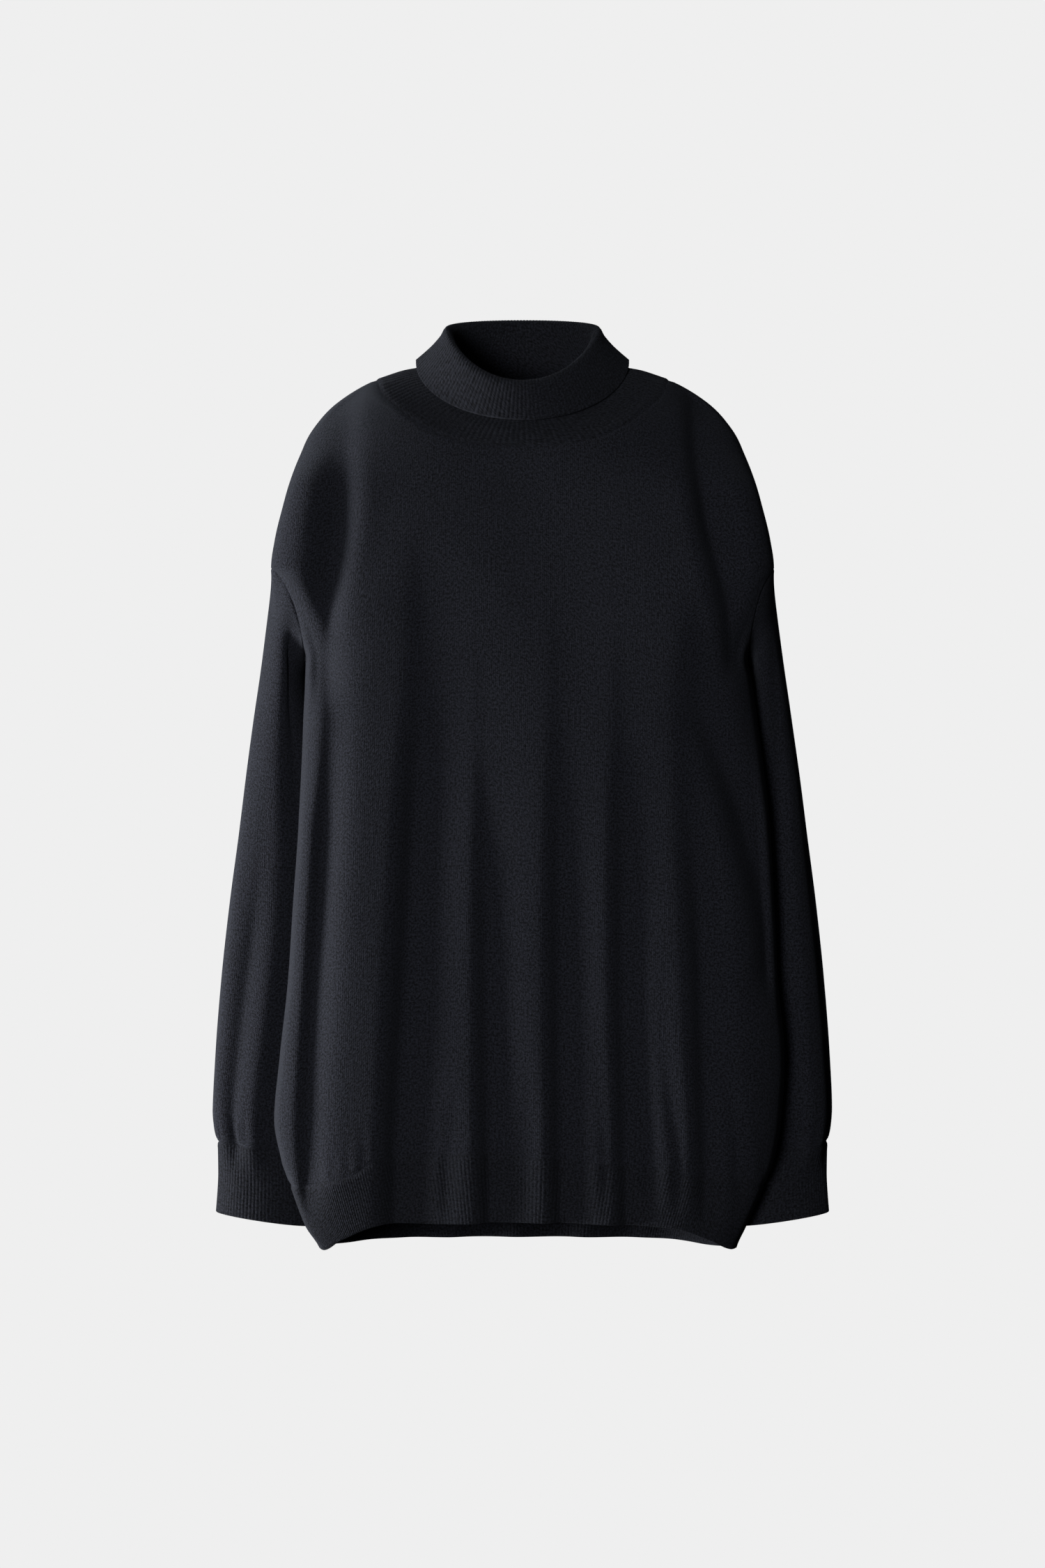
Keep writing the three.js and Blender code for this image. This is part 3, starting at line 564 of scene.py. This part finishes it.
def knitMaterial(name, look):
    material = bpy.data.materials.new(name)
    material.use_nodes = True
    tree = material.node_tree
    tree.nodes.clear()
    place = addNode(tree, "ShaderNodeUVMap", uv_map="knitInMm")
    split = addNode(tree, "ShaderNodeSeparateXYZ", {0: place.outputs[0]})

    # stitches: the two legs of a wale lean against each other, one pair for each course
    wale = addNode(
        tree, "ShaderNodeMath", {0: split.outputs[0], 1: look["waleMm"]}, operation="PINGPONG",
    )
    leg = addNode(tree, "ShaderNodeMath", {0: wale.outputs[0], 1: look["waleMm"]}, operation="DIVIDE")
    legTurn = addNode(tree, "ShaderNodeMath", {0: leg.outputs[0], 1: math.pi}, operation="MULTIPLY")
    legRound = addNode(tree, "ShaderNodeMath", {0: legTurn.outputs[0]}, operation="SINE")
    course = addNode(
        tree, "ShaderNodeMath", {0: split.outputs[1], 1: look["courseMm"]}, operation="DIVIDE",
    )
    slanted = addNode(tree, "ShaderNodeMath", {0: course.outputs[0], 1: leg.outputs[0]}, operation="ADD")
    stitchTurn = addNode(
        tree, "ShaderNodeMath", {0: slanted.outputs[0], 1: 2 * math.pi}, operation="MULTIPLY",
    )
    stitchWave = addNode(tree, "ShaderNodeMath", {0: stitchTurn.outputs[0]}, operation="SINE")
    stitch = addNode(
        tree, "ShaderNodeMath",
        {0: stitchWave.outputs[0], 1: yarnLook["stitchRise"], 2: 1 - yarnLook["stitchRise"]},
        operation="MULTIPLY_ADD",
    )
    height = addNode(
        tree, "ShaderNodeMath", {0: stitch.outputs[0], 1: legRound.outputs[0]}, operation="MULTIPLY",
    )
    stitched = addNode(
        tree, "ShaderNodeMath", {0: height.outputs[0], 1: look["stitchShare"]}, operation="MULTIPLY",
    )

    # flecks, in the height and in the colour
    flecks = addNode(
        tree, "ShaderNodeTexNoise",
        {"Vector": place.outputs[0], "Scale": yarnLook["fleckPerMm"], "Detail": 2.0, "Roughness": 0.8},
    )
    uneven = addNode(
        tree, "ShaderNodeMath",
        {0: flecks.outputs[0], 1: yarnLook["fleckBump"], 2: stitched.outputs[0]},
        operation="MULTIPLY_ADD",
    )
    bump = addNode(
        tree, "ShaderNodeBump",
        {
            "Height": uneven.outputs[0], "Strength": yarnLook["bumpStrength"],
            "Distance": look["bumpMm"] * metresPerMm,
        },
    )
    bloom = addNode(
        tree, "ShaderNodeTexNoise",
        {"Vector": place.outputs[0], "Scale": yarnLook["bloomPerMm"], "Detail": 4.0, "Roughness": 0.6},
    )
    # painted shade: the colour is darker where the stitches are low, in the grooves between legs and
    # courses, where shade would fall
    paintedGrooveShade = addNode(
        tree, "ShaderNodeMath",
        {0: height.outputs[0], 1: yarnLook["stitchPaintedShade"], 2: yarnLook["shadeStart"]},
        operation="MULTIPLY_ADD",
    )
    fleck = addNode(
        tree, "ShaderNodeMath",
        {0: flecks.outputs[0], 1: yarnLook["fleckShade"], 2: paintedGrooveShade.outputs[0]},
        operation="MULTIPLY_ADD",
    )
    level = addNode(
        tree, "ShaderNodeMath",
        {0: bloom.outputs[0], 1: yarnLook["bloomShade"], 2: fleck.outputs[0]},
        operation="MULTIPLY_ADD", use_clamp=True,
    )
    colour = addNode(
        tree, "ShaderNodeMix",
        {0: level.outputs[0], 6: linearFromHex(look["dark"]), 7: linearFromHex(look["light"])},
        data_type="RGBA",
    )
    surface = addNode(
        tree, "ShaderNodeBsdfPrincipled",
        {
            "Base Color": colour.outputs[2],
            "Roughness": yarnLook["roughness"],
            "IOR": 1.5,
            "Specular IOR Level": yarnLook["gloss"],
            "Sheen Weight": look["sheen"],
            "Sheen Roughness": yarnLook["sheenRoughness"],
            "Sheen Tint": linearFromHex(yarnLook["sheenTint"]),
            "Normal": bump.outputs[0],
        },
    )
    addNode(tree, "ShaderNodeOutputMaterial", {0: surface.outputs[0]})
    return material


jerseyKnit = knitMaterial("fineJerseyWool", jerseyLook)
ribKnit = knitMaterial("oneByOneRibWool", ribLook)


# Body panels

panels = {}
for half, (_, _, sign) in bodyHalves.items():
    grid = panelGrid(half)
    panels[half] = {"grid": grid, "normals": gridNormals(grid, False, sign)}

sideTop = bodyForm["sideRows"]
armTop = sideTop + bodyForm["armholeRows"]


def armholeLoop(side, source):
    # from the shoulder point down the front to the armpit and up the back
    column = 0 if side == "right" else -1
    front = panels["front"][source][sideTop:armTop + 1, column][::-1]
    back = panels["back"][source][sideTop:armTop + 1, column]
    return np.concatenate([front, back[1:-1]])


# Sleeves

sleeveForm = {
    "clothThickness": 1.3,
    "rows": 196,
    "girth": 210,            # round the sleeve at its cuff
    "gatherDepth": 1.5,      # puckers where the sleeve is linked to its cuff
    "gatherPitch": 11,
    "gatherReach": 26,
    "gatherFade": 6,
    "gatherSeed": {"right": 3, "left": 7},
    "foldFade": 80,          # how a fold starts
    "armholeFade": 45,       # how the folds die out towards the armhole
    "flat": (0.30, 0.50),
    "area": 0.11,
}

# Outer and inner end of each ring seen from the front, its middle in y and half its depth
sleeveRings = {
    "right": [
        [216, -204, 186, -270, -12, 46],
        [219.5, -232, 184.5, -289, -12, 43],
        [224, -266, 181, -313, -11, 40],
        [230, -306, 174, -339, -10, 38],
        [236, -350, 166, -372, -10, 36],
        [243, -406, 157, -419, -10, 35],
        [251, -466, 156, -475, -10, 33],
        [258, -530, 162, -537, -10, 32],
        [263, -595, 170, -601, -11, 31],
        [265, -642, 177, -649, -12, 30],
        [263.5, -657, 181, -666, -12, 27],
        [260.5, -669, 184, -680, -12, 25],
    ],
    "left": [
        [216, -204, 194, -268, -12, 46],
        [219.5, -232, 194, -288, -12, 43],
        [224, -266, 192, -312, -11, 40],
        [230, -306, 185, -339, -9, 38],
        [236, -350, 174, -372, -9, 36],
        [243, -406, 159, -419, -9, 35],
        [251, -466, 157, -475, -9, 33],
        [258, -530, 163, -537, -10, 32],
        [263, -595, 171, -601, -11, 31],
        [265, -642, 178, -649, -12, 30],
        [263.5, -657, 182, -666, -12, 27],
        [260.5, -669, 185, -680, -12, 25],
    ],
}
cuffRings = [[260, -697, 183, -708, -12, 25], [262, -729, 182, -741, -12, 26]]

# Folds of a sleeve: angle in degrees round it (0 outer side, 90 front) and height of three points, the
# depth at each and how wide the fold is in degrees either way. A negative depth is a ridge.
sleeveFolds = {
    "right": [
        [112, -250, 108, -380, 104, -600, 8, 9, 6, 24, 40],
        [62, -400, 57, -520, 52, -650, 1, 4, 4, 10, 14],
        [30, -330, 32, -480, 30, -640, -0.5, -2, -2, 12, 12],
        [88, -440, 84, -560, 80, -660, -0.5, -3, -2.5, 12, 12],
        [240, -300, 246, -450, 250, -640, 1, 4, 3, 20, 20],
        [290, -330, 292, -480, 296, -640, 1, 3, 3, 18, 18],
        [335, -300, 334, -460, 330, -640, 1, 2.5, 2, 16, 16],
    ],
    "left": [
        [56, -300, 54, -400, 60, -620, -3, -8, -9, 34, 9],
        [26, -330, 26, -480, 24, -650, 1, 3, 3, 12, 12],
        [20, -420, 20, -540, 20, -650, 0.5, 2.5, 3, 12, 12],
        [238, -300, 244, -450, 252, -640, 1, 4, 3, 20, 20],
        [286, -330, 290, -480, 298, -640, 1, 3, 3, 18, 18],
        [332, -300, 330, -460, 326, -640, 1, 2.5, 2, 16, 16],
    ],
}


def ringPoints(ring, sign, angles):
    outerX, outerZ, innerX, innerZ, y, halfDepth = ring
    across = (1 + np.cos(angles)) / 2
    x = sign * mixed(innerX, outerX, across)
    z = mixed(innerZ, outerZ, across)
    return np.stack([x, y - halfDepth * np.sin(angles), z], axis=-1)


def sleeveGrid(side, sign):
    loop = armholeLoop(side, "grid")
    angles = np.linspace(0, 2 * np.pi, len(loop), endpoint=False)
    rings = np.stack([*[ringPoints(r, sign, angles) for r in sleeveRings[side][::-1]], loop])
    gaps = np.linalg.norm(np.diff(rings, axis=0), axis=-1).mean(axis=1)
    run = np.concatenate([[0], np.cumsum(gaps)])
    return lineThrough(run, rings)(np.linspace(0, run[-1], sleeveForm["rows"] + 1))


def sleeveRelief(side, grid):
    rows, columns = grid.shape[:2]
    angles = np.degrees(np.linspace(0, 2 * np.pi, columns, endpoint=False))[None, :]
    z = grid[..., 2]
    total = np.zeros((rows, columns))
    for a1, z1, a2, z2, a3, z3, depth1, depth2, depth3, toOuter, toInner in sleeveFolds[side]:
        centre = lineThrough([z1, z2, z3], [a1, a2, a3])(z)
        depth = lineThrough([z1, z2, z3], [depth1, depth2, depth3])(z)
        fade = softStep(z1 + sleeveForm["foldFade"] - z, 0, sleeveForm["foldFade"])
        apart = (angles - centre + 180) % 360 - 180
        width = np.where(apart < 0, toOuter, toInner)
        total = total - depth * fade * np.exp(-((apart / width) ** 2))
    run = runAlong(grid, 0)
    total = total * softStep(run[-1:] - run, 0, sleeveForm["armholeFade"])
    around = np.broadcast_to(angles / 360 * sleeveForm["girth"], total.shape)
    gather = unevenWaves(around, sleeveForm["gatherPitch"], sleeveForm["gatherSeed"][side])
    gather = gather * np.exp(-(run / sleeveForm["gatherReach"]) ** 2)
    gather = gather * softStep(run, 0, sleeveForm["gatherFade"])
    return total + sleeveForm["gatherDepth"] * gather, run


sleeves = {}
for side, sign in (("right", -1), ("left", 1)):
    grid = sleeveGrid(side, sign)
    normals = gridNormals(grid, True, -sign)
    fold, run = sleeveRelief(side, grid)
    grid = grid + normals * fold[..., None]
    normals = gridNormals(grid, True, -sign)
    shared = normals[-1] + armholeLoop(side, "normals")
    shared = shared / np.linalg.norm(shared, axis=-1, keepdims=True)
    normals[-1] = shared
    sleeves[side] = {"grid": grid, "normals": normals, "run": run, "sign": sign}
    # the panels take the same direction along the armhole, so that the seam lies closed
    column = 0 if side == "right" else -1
    arms = bodyForm["armholeRows"]
    panels["front"]["normals"][sideTop:armTop + 1, column] = shared[:arms + 1][::-1]
    panels["back"]["normals"][sideTop + 1:armTop, column] = shared[arms + 1:]

# Cut of each panel in metres and square metres, and the puckers over the hem rib
bodyCut = {
    "flat": {"front": (0.56, 0.79), "back": (0.60, 0.80)},
    "area": {"front": 0.31, "back": 0.38},
    "puckerDepth": 0.7,
    "puckerPitch": 12,
    "puckerReach": 24,
    "puckerFade": 5,
    "puckerStart": 300,
    "puckerSeed": {"front": 5, "back": 9},
}

for half in ("front", "back"):
    grid, normals = panels[half]["grid"], panels[half]["normals"]
    up, across = runAlong(grid, 0), runAlong(grid, 1)
    toEdge = np.minimum(np.minimum(up, up[-1:] - up), np.minimum(across, across[:, -1:] - across))
    along = grid[..., 0] + bodyCut["puckerStart"]
    puckers = unevenWaves(along, bodyCut["puckerPitch"], bodyCut["puckerSeed"][half])
    puckers = bodyCut["puckerDepth"] * puckers * np.exp(-((up / bodyCut["puckerReach"]) ** 2))
    puckers = puckers * softStep(up, 0, bodyCut["puckerFade"])
    piece = addWall(
        f"{half}Panel", grid, normals, False, bodyForm["clothThickness"], jerseyKnit,
        relief=seamDip(toEdge) + puckers, innerRelief=-puckers,
    )
    placePiece(piece, f"{half}_panel")
print("body panels made")

for side in ("right", "left"):
    made = sleeves[side]
    grid, run = made["grid"], made["run"]
    toEdge = np.minimum(run, run[-1:] - run)
    piece = addWall(
        f"{side}Sleeve", grid, made["normals"], True, sleeveForm["clothThickness"], jerseyKnit,
        relief=seamDip(toEdge),
    )
    placePiece(piece, f"sleeve_{side}")
print("sleeves made")


# Ribs: every rib is a round ridge with a narrow valley beside it

ribForm = {
    "thickness": 1.7,
    "depth": 0.42,
    "pointsPerRib": 6,
    "fullness": 0.7,
    "sunk": 0.3,            # share of a rib's depth that lies under the cloth's own face
    "seamFade": 2.2,
    "rollEdge": 0.85,
}


def ribRelief(columns, seamRun):
    share = (np.arange(columns) % ribForm["pointsPerRib"]) / ribForm["pointsPerRib"]
    fade = softStep(seamRun, 0, ribForm["seamFade"])
    faces = []
    for turn in (share, (share + 0.5) % 1):
        rib = np.sin(np.pi * turn) ** ribForm["fullness"]
        faces.append(ribForm["depth"] * (rib[None, :] * fade - ribForm["sunk"]))
    return faces


# Cuffs

cuffForm = {"ribs": 80, "rows": 20, "flat": (0.21, 0.062)}


def cuffGrid(side):
    made = sleeves[side]
    columns = cuffForm["ribs"] * ribForm["pointsPerRib"]
    angles = np.linspace(0, 2 * np.pi, columns, endpoint=False)
    seam = made["grid"][0]
    places = np.linspace(0, 2 * np.pi, len(seam) + 1)
    closed = np.concatenate([seam, seam[:1]])
    seamLine = np.stack([np.interp(angles, places, closed[:, k]) for k in range(3)], axis=-1)
    rings = [ringPoints(ring, made["sign"], angles) for ring in cuffRings[::-1]]
    grid = lineThrough([0, 1, 2], np.stack([*rings, seamLine]))(np.linspace(0, 2, cuffForm["rows"] + 1))
    return grid, gridNormals(grid, True, -made["sign"])


for side in ("right", "left"):
    grid, normals = cuffGrid(side)
    toSeam = runAlong(grid, 0)
    toSeam = toSeam[-1:] - toSeam
    relief, innerRelief = ribRelief(grid.shape[1], toSeam)
    piece = addWall(
        f"{side}Cuff", grid, normals, True, ribForm["thickness"], ribKnit,
        relief=relief + seamDip(toSeam), innerRelief=innerRelief, edges=(ribForm["rollEdge"], 0.3),
    )
    placePiece(piece, f"cuff_{side}")
print("cuffs made")


# Hem rib, in a front and a back half

hemForm = {
    "ribs": 200,            # in each half
    "rows": 15,
    "flat": {"front": (0.49, 0.063), "back": (0.53, 0.063)},
}


def hemGrid(half):
    surface, column, sign = bodyHalves[half]
    columns = hemForm["ribs"] * ribForm["pointsPerRib"]
    hemSeam = lineThrough([row[0] for row in hemSeamRows], [row[column] for row in hemSeamRows])
    hemEdge = lineThrough([row[0] for row in hemEdgeRows], [row[column] for row in hemEdgeRows])
    share = turnOf(np.linspace(-1, 1, columns + 1))
    depth = np.linspace(1, 0, hemForm["rows"] + 1)[:, None]
    z = mixed(hemSeam(share)[None, :], hemEdge(share)[None, :], depth)
    x = share * reachAt(np.broadcast_to(share, z.shape), z)
    grid = np.stack([x, surface(x, z), z], axis=-1)
    return grid, gridNormals(grid, False, sign)


for half in ("front", "back"):
    grid, normals = hemGrid(half)
    up, across = runAlong(grid, 0), runAlong(grid, 1)
    toSeam = up[-1:] - up
    toSide = np.minimum(across, across[:, -1:] - across)
    relief, innerRelief = ribRelief(grid.shape[1], toSeam)
    piece = addWall(
        f"{half}HemRib", grid, normals, False, ribForm["thickness"], ribKnit,
        relief=relief + seamDip(np.minimum(toSeam, toSide)), innerRelief=innerRelief,
        edges=(ribForm["rollEdge"], 0.3),
    )
    placePiece(piece, f"hem_rib_{half}")
print("hem rib made")


# Roll collar: yoke from the neckline, stand, fold and turnover

collarForm = {
    "ribs": 150,
    "rows": 49,
    "riseBack": 0.8,        # how the height runs from the side to the back
    "flat": (0.68, 0.14),
    "area": 0.063,
}

# Half width, reach to the front and back, their heights, and how the height runs to the front
collarRings = [
    [103, 71, 58, -66, -8, -14, 1.4],
    [85, 64, 54, -56, -4, 0, 1.4],
    [60.5, 56, 51, -28, 23, 37, 1.4],
    [65.5, 61, 56, -22, 28, 42, 1.4],
    [70, 67, 61, -27, 21, 35, 1.3],
    [91, 73, 66, -55, 1.5, -10, 1.0],
]


def collarGrid():
    columns = collarForm["ribs"] * ribForm["pointsPerRib"]
    angles = np.linspace(0, 2 * np.pi, columns, endpoint=False)
    deep, wide = np.sin(angles), -np.cos(angles)
    toFront = deep > 0
    places, frontLine, backLine = zip(*necklineRows)
    x = wide * bodyForm["neckPoint"][0]
    across = np.abs(wide)
    z = np.where(toFront, lineThrough(places, frontLine)(across), lineThrough(places, backLine)(across))
    y = np.where(toFront, frontSurface(x, z), backSurface(x, z))
    rings = [np.stack([x, y, z], axis=-1)]
    for halfX, front, back, frontZ, sideZ, backZ, riseFront in collarRings:
        rise = np.abs(deep) ** np.where(toFront, riseFront, collarForm["riseBack"])
        ringZ = mixed(sideZ, np.where(toFront, frontZ, backZ), rise)
        rings.append(np.stack([wide * halfX, -deep * np.where(toFront, front, back), ringZ], axis=-1))
    rings = np.stack(rings)
    gaps = np.linalg.norm(np.diff(rings, axis=0), axis=-1).mean(axis=1)
    run = np.concatenate([[0], np.cumsum(gaps)])
    grid = lineThrough(run, rings)(np.linspace(0, run[-1], collarForm["rows"] + 1))
    return grid, gridNormals(grid, True, 1)


grid, normals = collarGrid()
fromSeam = runAlong(grid, 0)
relief, innerRelief = ribRelief(grid.shape[1], fromSeam)
collar = addWall(
    "rollCollar", grid, normals, True, ribForm["thickness"], ribKnit,
    relief=relief + seamDip(fromSeam), innerRelief=innerRelief, edges=(0.3, ribForm["rollEdge"]),
)
placePiece(
    collar, "roll_collar",
)
print("collar made")


# Camera, floor and light

stageForm = {
    "cameraAt": (0.0, -3.5, -0.363),
    "lens": 93.33,
    "paper": "#efefef",
    "paperRadius": 6,
    "paperHeight": -1.25,
    "roomTint": "#f4f6fa",
    "roomLight": 0.015,
    # where each light stands, what it is aimed at, how wide it is and its watts
    "lights": {
        "keyLight": ((-3.0, -0.2, -0.6), (0, 0, -0.4), 1.2, 142),
        "fillLight": ((-1.05, -3.2, -0.3), (0, 0, -0.4), 1.0, 40),
        "topLight": ((-0.5, -0.4, 2.4), (0, 0, -0.3), 1.2, 3),
    },
}

camera = bpy.data.objects.new("camera", bpy.data.cameras.new("camera"))
camera.data.lens = stageForm["lens"]
camera.location = stageForm["cameraAt"]
camera.rotation_euler = (math.pi / 2, 0, 0)
bpy.context.scene.collection.objects.link(camera)
bpy.context.scene.camera = camera

for name, (at, aim, size, watts) in stageForm["lights"].items():
    lamp = bpy.data.lights.new(name, "AREA")
    lamp.shape = "DISK"
    lamp.size = size
    lamp.energy = watts
    holder = bpy.data.objects.new(name, lamp)
    holder.location = at
    holder.rotation_euler = (Vector(aim) - Vector(at)).to_track_quat("-Z", "Y").to_euler()
    bpy.context.scene.collection.objects.link(holder)

# The room is seen as pale paper, and lights the cloth only a little
world = bpy.data.worlds.new("paleRoom")
world.use_nodes = True
tree = world.node_tree
tree.nodes.clear()
rays = addNode(tree, "ShaderNodeLightPath")
seen = addNode(
    tree, "ShaderNodeBackground", {"Color": linearFromHex(stageForm["paper"]), "Strength": 1.0},
)
lighting = addNode(
    tree, "ShaderNodeBackground",
    {"Color": linearFromHex(stageForm["roomTint"]), "Strength": stageForm["roomLight"]},
)
both = addNode(
    tree, "ShaderNodeMixShader",
    {0: rays.outputs["Is Camera Ray"], 1: lighting.outputs[0], 2: seen.outputs[0]},
)
addNode(tree, "ShaderNodeOutputWorld", {0: both.outputs[0]})
bpy.context.scene.world = world
bpy.context.scene.view_settings.view_transform = "Standard"

# Matt paper floor, evenly lit up to its edge
paper = bpy.data.materials.new("palePaper")
paper.use_nodes = True
tree = paper.node_tree
tree.nodes.clear()
glow = addNode(
    tree, "ShaderNodeEmission", {"Color": linearFromHex(stageForm["paper"]), "Strength": 1.0},
)
addNode(tree, "ShaderNodeOutputMaterial", {0: glow.outputs[0]})
bpy.ops.mesh.primitive_circle_add(
    vertices=64, radius=stageForm["paperRadius"], fill_type="NGON",
    location=(0, 0, stageForm["paperHeight"]),
)
floor = bpy.context.object
floor.name = "paleFloor"
floor.data.materials.append(paper)
floor.visible_diffuse = False
floor.visible_glossy = False
print("stage made")
